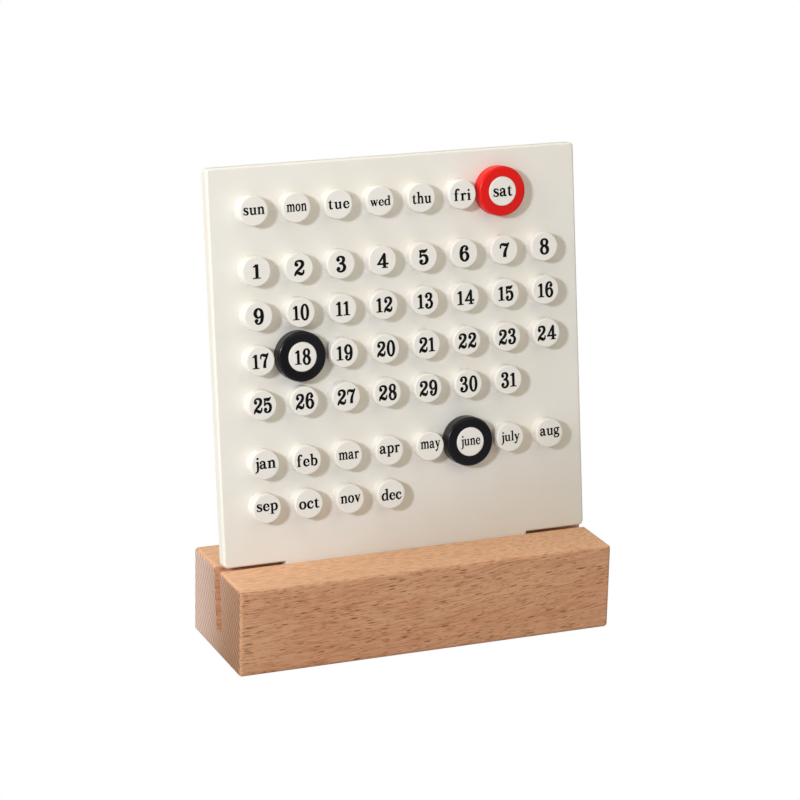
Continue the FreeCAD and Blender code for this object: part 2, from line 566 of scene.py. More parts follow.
        # Each ring darkens towards its late wood and then starts again.
        wobble = graph.noise(graph.stretched(parts, self.wobble_scale), 1.0, 1.0)
        reach = graph.math("MULTIPLY_ADD", wobble, self.wobble, parts[2])
        count = graph.math("DIVIDE", reach, self.ring_spacing)
        late = graph.math("POWER", graph.math("FRACT", count), self.late_power)
        colour = graph.mix(graph.math("MULTIPLY", late, self.late_share), colour, self.ring, Tone.DARKEN)
        fibre = graph.noise(graph.stretched(parts, self.fibre_scale), 1.0, 3.0)
        return graph.mix(graph.ramp(fibre, *self.fibre_edge), colour, self.fine, Tone.DARKEN), count, fibre

    def dashes(self, graph: Graph, parts: Sequence[Socket], z: Socket) -> Socket:
        """Large sparse rays and small faint ones, weaker on the top.

        Args:
            graph: The material's graph.
            parts: Distance along the block, along a growth ring, and from ring to ring.
            z: Height on the block.

        Returns:
            A mask from 0 to 1.
        """
        large, small = self.large.mask(graph, parts), self.small.mask(graph, parts)
        both = graph.math("MAXIMUM", large, graph.math("MULTIPLY", small, self.small_share))
        near_top = (self.top - inside for inside in self.dash_edge)
        return graph.math("MULTIPLY", both, graph.ramp(z, *near_top, 1.0, self.top_share))

    def fibre_axes(self, graph: Graph, place: Socket, axes: Sequence[Socket]) -> Tuple[Socket, Socket]:
        """Distances across the fibres, along a growth ring and square to it.

        Args:
            graph: The material's graph.
            place: Where on the block, in millimetres.
            axes: Its three separate coordinates.

        Returns:
            The distance along the ring, and the distance from ring to ring.
        """
        x, y, z = axes[0], axes[1], axes[2]
        slope = graph.math("MULTIPLY_ADD", x, self.rise_growth, self.rise)
        level = graph.math("SUBTRACT", z, graph.math("MULTIPLY", slope, x))
        stretched = graph.add("ShaderNodeMapping", {"Vector": place, "Scale": self.sway_scale}).outputs[0]
        sway = graph.add("ShaderNodeTexNoise", {"Vector": stretched, "Scale": 1.0, "Detail": 1.0})
        shift = graph.math("MULTIPLY_ADD", sway.outputs["Fac"], self.sway, -self.sway / 2)
        level = graph.math("ADD", level, shift)
        slant = math.radians(self.ring_slant)
        across, down = math.sin(slant), math.cos(slant)
        along = graph.math("ADD", graph.math("MULTIPLY", y, across), graph.math("MULTIPLY", level, down))
        off = graph.math("MULTIPLY", level, across)
        radial = graph.math("SUBTRACT", graph.math("MULTIPLY", y, down), off)
        bow = graph.math("MULTIPLY", graph.math("MULTIPLY", along, along), self.ring_bow)
        return along, graph.math("ADD", radial, bow)


# ---------------------------------------------------------------- letters

HAIRLINE = 1.7
STEM = 2.45
FIGURE_STEM = 1.75
WEDGE_OUT = 1.7
WEDGE_DROP = 1.3
TURN_WIDTH = 6.8
TURN_HEIGHT = 10.2
LETTER_HEIGHT = 10.0


def hull(points: Sequence[Point]) -> List[Point]:
    """Convex outline round some points, anticlockwise.

    Args:
        points: Any points in the plane.

    Returns:
        The outline's corners.
    """

    def half(ordered: Sequence[Point]) -> List[Point]:
        """One side of the outline, without its last corner."""
        side: List[Point] = []
        for point in ordered:
            while len(side) > 1 and turn(side[-2], side[-1], point) <= 0:
                side.pop()
            side.append(point)
        return side[:-1]

    ordered = sorted(set(points))
    return half(ordered) + half(ordered[::-1])


def turn(a: Point, b: Point, c: Point) -> float:
    """Twice the area of the triangle a, b, c, positive when it turns left."""
    return (b[0] - a[0]) * (c[1] - b[1]) - (b[1] - a[1]) * (c[0] - b[0])


def eased(t: float, a: float, b: float, c: float, d: float) -> float:
    """Value at t on the smooth curve from b to c that also heeds their neighbours a and d."""
    square = 2 * a - 5 * b + 4 * c - d
    cube = 3 * b - a - 3 * c + d
    return 0.5 * (2 * b + (c - a) * t + square * t**2 + cube * t**3)


@dataclass(frozen=True)
class Ball:
    """Round dot or ball terminal."""

    x: float
    y: float
    radius: float
    sides: int = 20

    def outlines(self) -> List[List[Point]]:
        """One round outline."""
        steps = [2 * math.pi * i / self.sides for i in range(self.sides)]
        return [[(self.x + self.radius * math.cos(a), self.y + self.radius * math.sin(a)) for a in steps]]


@dataclass(frozen=True)
class Patch:
    """Flat piece with straight sides, such as a bar or the flag at the head of a stem."""

    corners: Tuple[Point, ...]

    def outlines(self) -> List[List[Point]]:
        """One outline, made convex."""
        return [hull(self.corners)]


@dataclass(frozen=True)
class Stroke:
    """Smooth pen stroke through (x, y, width) points.

    Ends narrower than fine are rounded, and the ink spreads a little.
    """

    path: Tuple[Pen, ...]
    closed: bool = False
    steps: int = 6
    fine: float = HAIRLINE
    spread: float = 0.45

    def samples(self) -> List[Pen]:
        """Points along the smooth stroke.

        Returns:
            Place and width at each point.
        """
        count = len(self.path)

        def near(index: int) -> Pen:
            """The path's point, wrapped on a closed stroke and held at the ends of an open one."""
            return self.path[index % count if self.closed else min(max(index, 0), count - 1)]

        found: List[Pen] = []
        for i in range(count if self.closed else count - 1):
            window = list(zip(near(i - 1), near(i), near(i + 1), near(i + 2)))
            for step in range(self.steps):
                t = step / self.steps
                found.append(tuple(eased(t, *values) for values in window))
        return found if self.closed else found + [self.path[-1]]

    def outlines(self) -> List[List[Point]]:
        """Short convex pieces that cover the stroke.

        Returns:
            One outline for each step along it, and one for each rounded end.
        """
        points = self.samples()
        count = len(points)
        sides = []
        for i, (x, y, width) in enumerate(points):
            before = points[i - 1] if self.closed or i else points[0]
            after = points[(i + 1) % count] if self.closed else points[min(i + 1, count - 1)]
            run = Vector((after[0] - before[0], after[1] - before[1])).normalized()
            run = run * (width + self.spread) / 2
            sides.append(((x - run.y, y + run.x), (x + run.y, y - run.x)))
        last = count if self.closed else count - 1
        found = [hull([*sides[i], *sides[(i + 1) % count]]) for i in range(last)]
        if not self.closed:
            for x, y, width in (points[0], points[-1]):
                if width < self.fine:
                    found += Ball(x, y, (width + self.spread) / 2).outlines()
        return found


@dataclass(frozen=True)
class Foot:
    """Slab serif with a curved bracket on each side of its stem."""

    left: float
    right: float
    stem_left: float
    stem_right: float
    level: float = 0.0
    thick: float = 0.85
    up: int = 1
    reach: float = 1.1
    steps: int = 4

    def outlines(self) -> List[List[Point]]:
        """The slab, and slivers that fill each bracket.

        Returns:
            Convex outlines.
        """
        top = self.level + self.thick * self.up
        found = [hull([(x, y) for x in (self.left, self.right) for y in (self.level, top)])]
        for edge, end in ((self.stem_left, self.left), (self.stem_right, self.right)):
            reach = math.copysign(min(abs(end - edge), self.reach), end - edge)
            if abs(reach) < self.thick / 4:
                continue
            angles = [i * math.pi / 2 / self.steps for i in range(self.steps + 1)]
            rise = self.up * abs(reach)
            curve = [(edge + reach * (1 - math.sin(a)), top + rise * (1 - math.cos(a))) for a in angles]
            corner = (edge, self.level + self.thick * self.up / 2)
            found += [hull([corner, a, b]) for a, b in zip(curve, curve[1:])]
        return found


Shape = Union[Ball, Patch, Stroke, Foot]


def straight(start: Pen, end: Pen, fine: float = 0.0) -> Stroke:
    """Straight stroke, with rounded ends where it is narrower than fine."""
    return Stroke((start, end), steps=1, fine=fine)


def stem(x: float, low: float, high: float, width: float = STEM) -> Stroke:
    """Upright stroke."""
    return straight((x, low, width), (x, high, width))


def head(x: float, y: float) -> Patch:
    """Wedge serif at the left of a stem's top, joined across the stem.

    Args:
        x: The stem's middle.
        y: Its top.

    Returns:
        The wedge.
    """
    left, right = x - STEM / 2, x + STEM / 2
    tip, low = left - WEDGE_OUT, y - WEDGE_DROP
    top = ((right, y), (left + 0.2, y), (tip, low + 0.5))
    return Patch((*top, (tip, low), (left, low - 1.0), (right, low - 1.0)))


def foot(x: float, left: float = 1.3, right: float = 1.3, level: float = 0.0) -> Foot:
    """Serif under a letter's stem."""
    return Foot(x - STEM / 2 - left, x + STEM / 2 + right, x - STEM / 2, x + STEM / 2, level)


def cap(left: float, right: float, stem_left: float, stem_right: float) -> Foot:
    """Thin serif on the top of a slanting stroke."""
    return Foot(left, right, stem_left, stem_right, LETTER_HEIGHT, 0.8, -1, 0.6)


def figure_foot(x: float, left: float, right: float, reach: float) -> Foot:
    """Thin serif under a figure's stem."""
    return Foot(left, right, x - FIGURE_STEM / 2, x + FIGURE_STEM / 2, thick=0.8, reach=reach)


def inner_foot(x: float, right: float) -> Foot:
    """Serif on the right of a stem alone."""
    return Foot(x, right, x, x + STEM / 2)


def arch(x: float, span: float) -> Stroke:
    """Arch from the stem at x down to a second stem."""
    return Stroke((
        (x + 0.6, 6.9, 0.9), (x + span * 0.33, 8.9, 1.2), (x + span * 0.62, 9.45, 1.9),
        (x + span * 0.9, 8.5, 2.5), (x + span, 6.2, STEM), (x + span, 3, STEM), (x + span, 0, STEM),
    ))


def upright(x: float, top: float = 9.9) -> Tuple[Shape, ...]:
    """Stem that stands on the line, with its head and foot."""
    return stem(x, 0, top - 0.6), head(x, top), foot(x)


def turned(shapes: Sequence[Union[Ball, Stroke]]) -> Tuple[Shape, ...]:
    """The same figure upside down.

    Args:
        shapes: Balls and open strokes.

    Returns:
        New balls and strokes.
    """
    found: List[Shape] = []
    for shape in shapes:
        if isinstance(shape, Ball):
            found.append(Ball(TURN_WIDTH - shape.x, TURN_HEIGHT - shape.y, shape.radius))
        else:
            path = ((TURN_WIDTH - x, TURN_HEIGHT - y, width) for x, y, width in shape.path)
            found.append(Stroke(tuple(path)))
    return tuple(found)


# Small letters without a stem above the line are about 10 units high, and so are figures.
BOWL_RIGHT = Stroke((
    (3.0, 7.2, 0.9), (5.3, 9.5, 1.3), (8.2, 8.4, 2.2), (9.2, 5.0, 2.6), (8.2, 1.6, 2.2), (5.5, 0.4, 1.2),
    (3.0, 1.4, 1.0),
))
BOWL_LEFT = Stroke((
    (7.6, 8.3, 0.9), (5.6, 9.5, 1.2), (2.8, 8.3, 2.2), (1.6, 4.9, 2.6), (2.5, 1.5, 2.2), (4.9, 0.5, 1.3),
    (7.3, 2.0, 0.9),
))
ROUND_LEFT = ((2.7, 8.2, 2.2), (1.6, 5.0, 2.6), (2.5, 2.0, 2.4), (4.9, 0.6, 1.7))
LETTERS: Dict[str, Tuple[Shape, ...]] = {
    "n": (*upright(2.9), arch(2.9, 5.7), foot(8.6)),
    "m": (*upright(2.9), arch(2.9, 5.5), foot(8.4, 1.0, 1.0), arch(8.4, 5.5), foot(13.9)),
    "h": (*upright(2.9, 16.0), arch(2.9, 5.7), foot(8.6)),
    "i": (*upright(2.9), Ball(2.7, 13.4, 1.55)),
    "l": upright(2.9, 16.0),
    "u": (
        Stroke((
            (2.9, 9.3, STEM), (2.9, 6, STEM), (2.9, 3.4, STEM), (3.5, 1.4, 2.3), (5.0, 0.5, 1.6),
            (6.9, 1.0, 1.1), (8.4, 2.6, 0.9),
        )),
        head(2.9, 9.9), stem(8.7, 0, 9.3), head(8.7, 9.9), inner_foot(8.7, 11.3),
    ),
    "j": (
        Stroke((
            (3.1, 9.3, STEM), (3.1, 4, STEM), (3.1, 0.5, STEM), (2.8, -1.8, 2.2), (1.7, -3.6, 1.5),
            (-0.2, -4.5, 0.8),
        )),
        head(3.1, 9.9), Ball(3.0, 13.4, 1.55),
    ),
    "r": (*upright(2.9), Stroke(((3.5, 6.6, 0.9), (4.7, 8.7, 1.4), (6.4, 9.3, 2.0))), Ball(6.9, 8.6, 1.35)),
    "t": (
        Stroke((
            (3.1, 9.4, STEM), (3.1, 6, STEM), (3.1, 3.0, STEM), (3.6, 1.3, 2.2), (4.9, 0.6, 1.6),
            (6.7, 1.3, 0.8),
        )),
        Patch(((0.2, 8.9), (6.4, 8.9), (6.4, 10.0), (1.0, 10.0))),
        Patch(((0.2, 8.9), (4.33, 8.9), (4.33, 12.9), (3.4, 12.2))),
    ),
    "f": (
        Stroke((
            (2.9, 0, STEM), (2.9, 6, STEM), (2.9, 11.0, STEM), (3.4, 13.9, 2.3), (4.9, 15.4, 1.6),
            (6.4, 15.4, 1.2),
        )),
        Ball(6.9, 14.4, 1.3), Patch(((0.4, 8.9), (6.2, 8.9), (6.2, 10.0), (0.4, 10.0))), foot(2.9, 1.3, 1.6),
    ),
    "s": (
        Stroke((
            (6.9, 7.3, 0.8), (6.2, 8.8, 1.0), (4.2, 9.5, 1.2), (2.2, 8.7, 1.9), (1.9, 7.0, 2.2),
            (3.4, 5.6, 2.5), (5.6, 4.5, 2.5), (6.9, 3.0, 2.3), (6.3, 1.3, 1.9), (4.2, 0.5, 1.2),
            (2.0, 1.1, 1.0), (1.0, 2.9, 0.8),
        )),
        Patch(((6.3, 7.2), (7.3, 6.6), (7.3, 9.9), (6.6, 9.9))),
        Patch(((0.5, 0.1), (1.2, 0.1), (1.6, 2.8), (0.5, 3.4))),
    ),
    "a": (
        Ball(2.0, 7.5, 1.3),
        Stroke((
            (1.3, 7.9, 1.0), (2.5, 9.2, 1.2), (4.5, 9.5, 1.5), (6.4, 8.5, 2.3), (6.9, 6.4, STEM),
            (6.9, 3.6, STEM), (7.1, 1.6, 2.2), (8.1, 0.6, 1.5), (9.5, 1.1, 0.8),
        )),
        Stroke((
            (6.9, 6.0, 0.9), (4.6, 5.3, 1.3), (2.3, 4.2, 2.1), (1.6, 2.5, 2.4), (2.6, 1.0, 2.0),
            (4.4, 0.8, 1.3), (6.6, 2.2, 1.0),
        )),
    ),
    "e": (
        Stroke((
            (8.0, 5.3, 2.0), (7.4, 8.0, 2.0), (5.1, 9.5, 1.2), *ROUND_LEFT, (7.2, 1.2, 1.1), (8.6, 3.0, 0.8),
        )),
        Patch(((1.8, 4.9), (8.9, 4.9), (8.9, 5.9), (1.8, 5.9))),
    ),
    "c": (
        Ball(7.0, 7.4, 1.35),
        Stroke((
            (7.8, 7.9, 1.0), (6.8, 9.2, 1.2), (5.0, 9.5, 1.3), *ROUND_LEFT, (7.0, 1.2, 1.1), (8.3, 3.0, 0.8),
        )),
    ),
    "o": (
        Stroke((
            (1.6, 5.0, 2.6), (2.6, 8.2, 2.1), (5.0, 9.5, 1.2), (7.5, 8.2, 2.1), (8.5, 5.0, 2.6),
            (7.5, 1.8, 2.1), (5.0, 0.5, 1.2), (2.6, 1.8, 2.1),
        ), True),
    ),
    "d": (stem(8.4, 0, 15.4), head(8.4, 16.0), inner_foot(8.4, 11.0), BOWL_LEFT),
    "b": (stem(2.9, 0.4, 15.4), head(2.9, 16.0), BOWL_RIGHT),
    "p": (stem(2.9, -4.6, 9.3), head(2.9, 9.9), foot(2.9, 1.3, 1.4, -4.6), BOWL_RIGHT),
    "g": (
        Stroke((
            (1.7, 6.6, 2.1), (2.6, 8.9, 1.6), (4.5, 9.5, 1.1), (6.4, 8.9, 1.7), (7.2, 6.6, 2.1),
            (6.3, 4.4, 1.6), (4.4, 3.7, 1.1), (2.5, 4.4, 1.6),
        ), True),
        Stroke(((6.3, 8.8, 0.9), (7.7, 9.5, 1.3), (8.9, 9.3, 1.6))),
        Stroke((
            (2.9, 4.3, 1.1), (1.8, 3.1, 1.4), (2.5, 1.9, 1.9), (5.0, 1.5, 2.1), (7.5, 0.9, 2.1),
            (8.4, -0.9, 2.0), (7.0, -2.8, 1.4), (4.3, -3.5, 1.2), (1.8, -2.8, 1.4), (1.3, -1.1, 1.4),
            (3.3, 0.9, 1.1),
        )),
    ),
    "v": (
        straight((2.2, 9.6, 2.8), (5.3, 0.9, 2.2)), straight((5.1, 0.5, 1.1), (8.0, 9.6, 1.1), HAIRLINE),
        cap(0.2, 4.6, 1.0, 3.5), cap(6.5, 9.8, 7.5, 8.6),
    ),
    "w": (
        straight((2.1, 9.6, 2.7), (4.7, 0.9, 2.1)), straight((4.6, 0.5, 1.0), (7.1, 8.4, 1.0), HAIRLINE),
        straight((6.6, 9.6, 2.7), (9.3, 0.9, 2.1)), straight((9.2, 0.5, 1.0), (12.0, 9.6, 1.0), HAIRLINE),
        cap(0.2, 4.3, 1.0, 3.3), cap(5.0, 8.6, 5.4, 7.8), cap(10.5, 13.6, 11.5, 12.5),
    ),
    "y": (
        straight((2.4, 9.6, 2.8), (5.5, 1.2, 2.2)),
        Stroke(((8.6, 9.6, 1.1), (6.4, 3.2, 1.3), (4.9, -1.4, 1.6), (3.6, -3.6, 1.5), (2.2, -4.3, 1.2))),
        Ball(2.0, -3.6, 1.3), cap(0.3, 4.8, 1.2, 3.7), cap(7.0, 10.3, 8.1, 9.2),
    ),
}
SIX: Tuple[Shape, ...] = (
    Ball(4.95, 8.0, 1.25),
    Stroke((
        (5.8, 8.3, 0.9), (5.0, 9.8, 0.9), (3.6, 10.3, 1.0), (1.8, 9.0, 1.6), (1.05, 5.4, 1.9),
        (1.5, 1.6, 1.6), (3.4, 0.0, 0.95), (5.1, 1.0, 1.6), (5.8, 3.1, 1.9), (5.1, 5.2, 1.5), (3.6, 6.1, 0.9),
        (2.2, 5.3, 0.8), (1.5, 3.8, 0.8),
    )),
)
FIGURES: Dict[str, Tuple[Shape, ...]] = {
    "0": (
        Stroke((
            (1.0, 5.1, 1.9), (1.7, 8.9, 1.5), (3.4, 10.3, 0.9), (5.1, 8.9, 1.5), (5.8, 5.1, 1.9),
            (5.1, 1.3, 1.5), (3.4, -0.1, 0.9), (1.7, 1.3, 1.5),
        ), True),
    ),
    "1": (
        stem(2.9, 0, 9.9, FIGURE_STEM), figure_foot(2.9, 0.2, 5.4, 0.6),
        Patch(((3.7, 10.0), (2.1, 9.7), (0.3, 8.5), (0.3, 7.8), (2.3, 7.9))),
    ),
    "2": (
        Ball(1.75, 7.3, 1.3),
        Stroke((
            (0.95, 7.4, 0.9), (1.5, 9.2, 0.95), (3.4, 9.9, 1.0), (5.4, 9.2, 1.7), (5.9, 7.4, 1.9),
            (4.9, 5.5, 1.7), (2.9, 3.7, 1.3), (1.2, 2.0, 1.1), (0.6, 0.3, 1.0),
        )),
        Stroke((
            (0.8, 0.9, 1.0), (2.0, 1.8, 1.5), (3.5, 1.2, 1.9), (5.0, 0.7, 1.7), (6.1, 1.4, 1.1),
            (6.5, 3.0, 0.7),
        )),
    ),
    "3": (
        Ball(1.7, 8.2, 1.25), Ball(1.75, 2.2, 1.3),
        Stroke((
            (0.9, 8.5, 0.9), (1.8, 9.9, 0.9), (3.5, 10.3, 0.95), (5.1, 9.5, 1.6), (5.4, 7.9, 1.8),
            (4.5, 6.2, 1.3), (2.7, 5.6, 0.8),
        )),
        Stroke((
            (2.7, 5.6, 0.8), (4.9, 5.1, 1.3), (5.9, 3.2, 1.9), (5.3, 1.1, 1.6), (3.5, 0.05, 1.0),
            (1.6, 0.5, 0.95), (0.85, 1.9, 0.9),
        )),
    ),
    "4": (
        stem(4.9, 0, 9.7, FIGURE_STEM), figure_foot(4.9, 2.9, 7.1, 0.5),
        Stroke(((4.9, 9.8, 1.1), (2.7, 6.2, 1.1), (0.7, 3.0, 1.0))),
        straight((0.2, 2.9, 0.85), (7.2, 2.9, 0.85), HAIRLINE),
        Patch(((6.6, 2.5), (7.2, 2.1), (7.2, 3.9), (6.6, 3.3))),
    ),
    "5": (
        Stroke(((1.5, 9.4, 0.9), (1.3, 7.2, 0.9), (1.1, 5.0, 0.9))), Ball(1.75, 2.1, 1.3),
        Stroke(((1.1, 9.2, 1.0), (2.6, 9.0, 1.8), (4.4, 8.9, 1.8), (5.9, 10.0, 0.6))),
        Stroke((
            (1.1, 5.0, 0.8), (2.9, 6.2, 0.95), (5.0, 5.5, 1.7), (5.8, 3.2, 1.95), (5.1, 1.0, 1.6),
            (3.4, 0.05, 1.0), (1.6, 0.4, 0.95), (0.85, 1.8, 0.9),
        )),
    ),
    "6": SIX,
    "7": (
        Stroke((
            (0.6, 6.9, 0.7), (0.8, 8.6, 0.9), (1.9, 9.3, 1.4), (3.5, 9.0, 1.8), (5.2, 8.8, 1.6),
            (6.5, 9.9, 0.7),
        )),
        Stroke(((6.4, 9.7, 0.7), (5.4, 7.5, 1.0), (4.2, 5.2, 1.5), (3.6, 2.6, 1.9), (3.5, 0.2, 2.1))),
        Patch(((0.3, 7.0), (0.9, 6.9), (1.3, 8.6), (0.3, 9.8))),
    ),
    "8": (
        Stroke((
            (1.3, 7.9, 1.8), (1.9, 9.6, 1.3), (3.3, 10.3, 0.9), (4.8, 9.6, 1.3), (5.3, 8.0, 1.6),
            (4.7, 6.3, 1.3), (3.2, 5.6, 1.1), (1.9, 6.3, 1.6),
        ), True),
        Stroke((
            (1.0, 2.7, 1.7), (1.7, 4.6, 1.3), (3.3, 5.5, 1.2), (5.0, 4.4, 1.9), (5.6, 2.5, 1.9),
            (4.9, 0.6, 1.4), (3.3, -0.15, 0.9), (1.7, 0.6, 1.3),
        ), True),
    ),
    "9": turned(SIX),
}


# ---------------------------------------------------------------- pieces

INK_THICKNESS = 0.03
INK_SINK = 0.01
FIGURE_HEIGHT = 4.82
SINGLE_WIDTH = 0.515
PAIR_WIDTH = 0.434
PAIR_GAP = 0.9
LAST_DATE = 31
MERGE_DISTANCE = 1e-4
STRAIGHT_ANGLE = math.radians(0.4)


def deselect() -> None:
    """Leave nothing selected."""
    for item in list(bpy.context.selected_objects):
        item.select_set(False)


def choose(item: bpy.types.Object) -> None:
    """Select one object alone and make it active."""
    deselect()
    item.select_set(True)
    bpy.context.view_layer.objects.active = item


def extent(outlines: Sequence[Sequence[Point]], axis: int) -> Tuple[float, float]:
    """Lowest and highest value of some outlines along an axis."""
    values = [point[axis] for outline in outlines for point in outline]
    return min(values), max(values)


class TypeCase:
    """Every letter and figure as a thin solid, cut once and copied for each legend."""

    def __init__(self) -> None:
        """Start with an empty case."""
        self.cut: Dict[str, bpy.types.Object] = {}
        self.width: Dict[str, float] = {}

    def piece(self, sign: str) -> bpy.types.Object:
        """The master of one letter or figure, one unit thick, with its left edge at zero.

        Args:
            sign: The letter or figure.

        Returns:
            The master object.
        """
        if sign not in self.cut:
            shapes = FIGURES[sign] if sign.isdigit() else LETTERS[sign]
            outlines = [outline for shape in shapes for outline in shape.outlines()]
            left, right = extent(outlines, 0)
            shifted = [[(x - left, y) for x, y in outline] for outline in outlines]
            self.cut[sign] = self.solid("type_" + sign, shifted)
            self.width[sign] = right - left
        return self.cut[sign]

    @staticmethod
    def solid(name: str, outlines: Sequence[Sequence[Point]]) -> bpy.types.Object:
        """Unite overlapping outlines and pull them up by one unit.

        Args:
            name: The object's name.
            outlines: Convex outlines that may overlap.

        Returns:
            The solid, at the origin.
        """
        points = [Vector(point) for outline in outlines for point in outline]
        faces = []
        start = 0
        for outline in outlines:
            faces.append(list(range(start, start + len(outline))))
            start += len(outline)
        flat, _, triangles, _, _, owners = delaunay_2d_cdt(points, [], faces, 0, MERGE_DISTANCE, True)
        kept = [triangle for triangle, owner in zip(triangles, owners) if owner]
        mesh = bpy.data.meshes.new(name)
        mesh.from_pydata([(point.x, point.y, 0.0) for point in flat], [], kept)
        solid = bpy.data.objects.new(name, mesh)
        bpy.context.collection.objects.link(solid)
        choose(solid)
        bpy.ops.object.mode_set(mode="EDIT")
        bpy.ops.mesh.select_all(action="SELECT")
        bpy.ops.mesh.delete_loose(use_verts=True, use_edges=True, use_faces=False)
        bpy.ops.mesh.select_all(action="SELECT")
        bpy.ops.mesh.dissolve_limited(angle_limit=STRAIGHT_ANGLE)
        bpy.ops.mesh.select_all(action="SELECT")
        bpy.ops.mesh.extrude_region_move(TRANSFORM_OT_translate={"value": (0.0, 0.0, 1.0)})
        bpy.ops.mesh.select_all(action="SELECT")
        bpy.ops.mesh.normals_make_consistent(inside=False)
        bpy.ops.object.mode_set(mode="OBJECT")
        return solid

    def copy(self, sign: str, place: Matrix) -> bpy.types.Object:
        """A copy of one letter or figure with its own mesh, put in place.

        Args:
            sign: The letter or figure.
            place: From letter units to the part's frame.

        Returns:
            The copy, with its object at the origin.
        """
        master = self.piece(sign)
        twin = master.copy()
        twin.data = master.data.copy()
        twin.data.transform(place)
        bpy.context.collection.objects.link(twin)
        return twin

    def put_away(self) -> None:
        """Remove the masters."""
        for master in self.cut.values():
            bpy.data.objects.remove(master)


@dataclass(frozen=True)
class Legend:
    """Size of the printing on one peg, in millimetres."""

    label: str
    width: float
    height: float
    gap: float = 0.5

    def spell(self, case: TypeCase, face: Matrix, name: str) -> bpy.types.Object:
        """Print the legend on a peg's face, centred by its own outline.

        Args:
            case: The letters.
            face: The face's frame, with its origin in the middle.
            name: The new object's name.

        Returns:
            The printed legend.
        """
        signs = [(sign, case.piece(sign)) for sign in self.label]
        total = sum(case.width[sign] for sign, _ in signs) + self.gap * (len(signs) - 1)
        across = self.width * MM / total
        up = self.height * MM / LETTER_HEIGHT
        corners = [vertex.co.y for _, master in signs for vertex in master.data.vertices]
        middle = (min(corners) + max(corners)) / 2
        scale = Matrix.Diagonal((across, up, INK_THICKNESS * MM, 1.0))
        x = -total / 2
        copies = []
        for sign, _ in signs:
            shift = Matrix.Translation(Vector((x * across, -middle * up, -INK_SINK * MM)))
            copies.append(case.copy(sign, face @ shift @ scale))
            x += case.width[sign] + self.gap
        choose(copies[0])
        for item in copies:
            item.select_set(True)
        if len(copies) > 1:
            bpy.ops.object.join()
        copies[0].name = copies[0].data.name = name
        return copies[0]


WORDS = (
    Legend("sun", 7.4, 2.45), Legend("mon", 7.1, 2.45), Legend("tue", 7.5, 2.4, 1.5),
    Legend("wed", 7.3, 2.05),
    Legend("thu", 6.95, 2.5), Legend("fri", 6.1, 2.55), Legend("sat", 7.0, 2.75),
    Legend("jan", 7.35, 2.65), Legend("feb", 7.3, 2.55), Legend("mar", 7.35, 2.5), Legend("apr", 7.4, 2.6),
    Legend("may", 7.25, 2.45), Legend("june", 7.15, 2.3), Legend("july", 6.9, 2.2), Legend("aug", 7.4, 2.5),
    Legend("sep", 7.5, 2.5), Legend("oct", 7.3, 2.6), Legend("nov", 7.3, 2.5), Legend("dec", 7.3, 2.5),
)


@dataclass
class LetteredPegs:
    """The plate's fifty pegs and the legend printed on each."""

    body: str = "plate"
    lift_joint: str = "plate_lift"
    pull_joint: str = "date_ring_pull"

    def legends(self, case: TypeCase) -> List[Tuple[str, Legend]]:
        """Pair each peg's node with its printing.

        Args:
            case: The letters, whose widths set the figures' widths.

        Returns:
            Node names and legends.
        """
        pairs = [("peg_" + word.label, word) for word in WORDS]
        for date in range(1, LAST_DATE + 1):
            label = str(date)
            for sign in label:
                case.piece(sign)
            units = sum(case.width[sign] for sign in label) + PAIR_GAP * (len(label) - 1)
            scale = SINGLE_WIDTH if len(label) == 1 else PAIR_WIDTH
            pairs.append(("peg_" + label.zfill(2), Legend(label, units * scale, FIGURE_HEIGHT, PAIR_GAP)))
        return pairs

    def axis(self, joint: str) -> Vector:
        """Direction of one of the part's joints."""
        found = next(item for item in frame["record"]["behaviour"]["joints"] if item["name"] == joint)
        return Vector(found["axis"]).normalized()

    def face_frame(self, node: str) -> Matrix:
        """Frame on a peg's face: x to the right, y up the plate, z out of the face.

        Args:
            node: The peg's node name.

        Returns:
            The frame, with its origin in the middle of the face.
        """
        out = self.axis(self.pull_joint)
        up = self.axis(self.lift_joint)
        right = up.cross(out)
        points = [vertex.co for vertex in frame["nodes"][node].data.vertices]
        level = max(point.dot(out) for point in points)
        rim = [point for point in points if level - point.dot(out) < INK_SINK * MM]
        origin = out * level
        for way in (right, up):
            reach = [point.dot(way) for point in rim]
            origin += way * (min(reach) + max(reach)) / 2
        axes = Matrix((right, up, out)).transposed().to_4x4()
        return Matrix.Translation(origin) @ axes

    def build(self, plastic: bpy.types.Material, ink: bpy.types.Material) -> None:
        """Dress every peg and print its legend.

        Args:
            plastic: The pegs' finish.
            ink: The legends' finish.
        """
        case = TypeCase()
        for node, legend in self.legends(case):
            dress(node, plastic)
            printed = legend.spell(case, self.face_frame(node), "legend_" + legend.label)
            printed.data.materials.clear()
            printed.data.materials.append(ink)
            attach(printed, self.body)
            LOG.info("%s: %d faces on %s", printed.name, len(printed.data.polygons), node)
        case.put_away()


def dress(node: str, material: bpy.types.Material) -> None:
    """Give one of the part's nodes its finish.

    Args:
        node: The node's name.
        material: The finish.
    """
    for slot in frame["nodes"][node].material_slots:
        slot.material = material
    LOG.info("%s: %s", node, material.name)


# ---------------------------------------------------------------- camera and studio


def direction(azimuth: float, elevation: float) -> Vector:
    """Way from the object towards a camera or a light.

    Args:
        azimuth: Degrees round from the front, positive to the right.
        elevation: Degrees above the floor.

    Returns:
        A vector one unit long.
    """
    a, e = math.radians(azimuth), math.radians(elevation)
    return Vector((math.sin(a) * math.cos(e), -math.cos(a) * math.cos(e), math.sin(e)))


def square_to(way: Vector) -> Tuple[Vector, Vector]:
    """Right and up as seen by one who stands at way and looks at the object."""
    right = (-way).cross(Vector((0.0, 0.0, 1.0))).normalized()
    return right, right.cross(-way)


